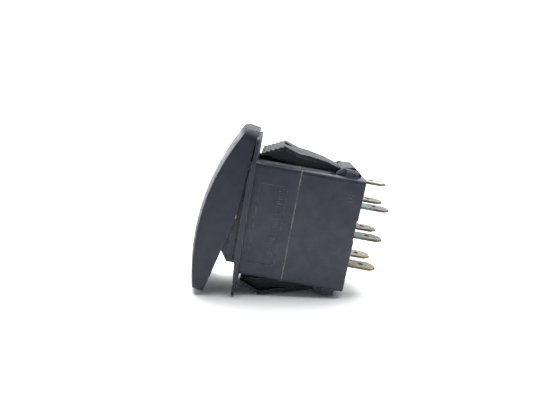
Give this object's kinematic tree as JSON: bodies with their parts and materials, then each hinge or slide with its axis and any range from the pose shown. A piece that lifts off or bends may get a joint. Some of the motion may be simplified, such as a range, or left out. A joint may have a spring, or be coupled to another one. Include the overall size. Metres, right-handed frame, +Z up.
{
  "type": "panel rocker switch",
  "caption": "Snap-in panel rocker switch with a crowned rocker over a flanged body, toothed spring wings above and below, and flat blade tabs at the rear.",
  "frame": {"origin": "centre of the panel plane, on the rear face of the flange", "axes": "+X across the switch, +Y to the rear along the tabs (the rocker faces -Y), +Z up along the rocker's length"},
  "size_m": [0.0246, 0.059, 0.0539],
  "materials": {
    "housing_nylon": "dark slate grey glass-filled nylon, satin, moulded",
    "wing_nylon": "the same nylon, lightly dusty",
    "rocker_plastic": "fine-textured dark grey polycarbonate, satin",
    "lens": "milky diffusing polycarbonate",
    "carrier_plastic": "black acetal",
    "gasket": "tan sealing strip",
    "steel": "ground steel pin",
    "spring_steel": "zinc-plated spring wire",
    "lamp_glass": "clear epoxy lamp",
    "resistor_body": "beige lacquered resistor with tinned leads",
    "tinned_wire": "tinned copper wire",
    "tab_brass": "tin-plated brass strip, tarnished",
    "bridge_copper": "copper strip",
    "contact_silver": "silver alloy rivet",
    "plunger_plastic": "natural acetal"
  },
  "bodies": {
    "switch_body": {"bracket": "housing_nylon", "base_housing": "housing_nylon", "housing_gasket": "gasket", "pivot_pin": "steel", "lamp": "lamp_glass", "lamp_resistor": "resistor_body", "lamp_return_wire": "tinned_wire", "lamp_terminal": "tab_brass", "terminal_a_upper": "tab_brass", "terminal_a_common": "tab_brass", "terminal_a_lower": "tab_brass", "terminal_b_upper": "tab_brass", "terminal_b_common": "tab_brass", "terminal_b_lower": "tab_brass", "fixed_contact_a_upper": "contact_silver", "fixed_contact_a_lower": "contact_silver", "fixed_contact_b_upper": "contact_silver", "fixed_contact_b_lower": "contact_silver"},
    "rocker": {"rocker_cap": "rocker_plastic", "lens": "lens", "carrier": "carrier_plastic", "plunger_spring_a": "spring_steel", "plunger_spring_b": "spring_steel"},
    "plunger_a_body": {"plunger_a": "plunger_plastic"},
    "plunger_b_body": {"plunger_b": "plunger_plastic"},
    "bridge_a_body": {"contact_bridge_a": "bridge_copper", "moving_contact_a_upper": "contact_silver", "moving_contact_a_lower": "contact_silver"},
    "bridge_b_body": {"contact_bridge_b": "bridge_copper", "moving_contact_b_upper": "contact_silver", "moving_contact_b_lower": "contact_silver"},
    "upper_wing_body": {"upper_wing": "wing_nylon"},
    "lower_wing_body": {"lower_wing": "wing_nylon"}
  },
  "joints": [
    {"name": "rocker_tilt", "type": "hinge", "parent": "switch_body", "child": "rocker", "pos_m": [0, -0.0045, 0], "axis": [1, 0, 0], "range_deg": [0, 19.4]},
    {"name": "plunger_a_slide", "type": "slide", "parent": "rocker", "child": "plunger_a_body", "axis": [0, 0.9857, -0.1685], "range_m": [-0.0007, 0], "stiffness_N_per_m": 250, "springref_m": 0.002, "deforming": ["plunger_spring_a"]},
    {"name": "bridge_a_rock", "type": "hinge", "parent": "switch_body", "child": "bridge_a_body", "pos_m": [0.005, 0.01617, 0], "axis": [1, 0, 0], "range_deg": [-14, 0]},
    {"name": "plunger_b_slide", "type": "slide", "parent": "rocker", "child": "plunger_b_body", "axis": [0, 0.9857, -0.1685], "range_m": [-0.0007, 0], "stiffness_N_per_m": 250, "springref_m": 0.002, "deforming": ["plunger_spring_b"]},
    {"name": "bridge_b_rock", "type": "hinge", "parent": "switch_body", "child": "bridge_b_body", "pos_m": [-0.005, 0.01617, 0], "axis": [1, 0, 0], "range_deg": [-14, 0]},
    {"name": "upper_wing_flex", "type": "hinge", "parent": "switch_body", "child": "upper_wing_body", "pos_m": [0, 0.0252, 0.0193], "axis": [1, 0, 0], "range_deg": [0, 9], "stiffness_Nm_per_rad": 1.1},
    {"name": "lower_wing_flex", "type": "hinge", "parent": "switch_body", "child": "lower_wing_body", "pos_m": [0, 0.0252, -0.0193], "axis": [1, 0, 0], "range_deg": [-9, 0], "stiffness_Nm_per_rad": 1.1}
  ],
  "couplings": [
    {"joint": "bridge_a_rock", "follows": "rocker_tilt", "ratio": -0.7216},
    {"joint": "bridge_b_rock", "follows": "rocker_tilt", "ratio": -0.7216}
  ]
}
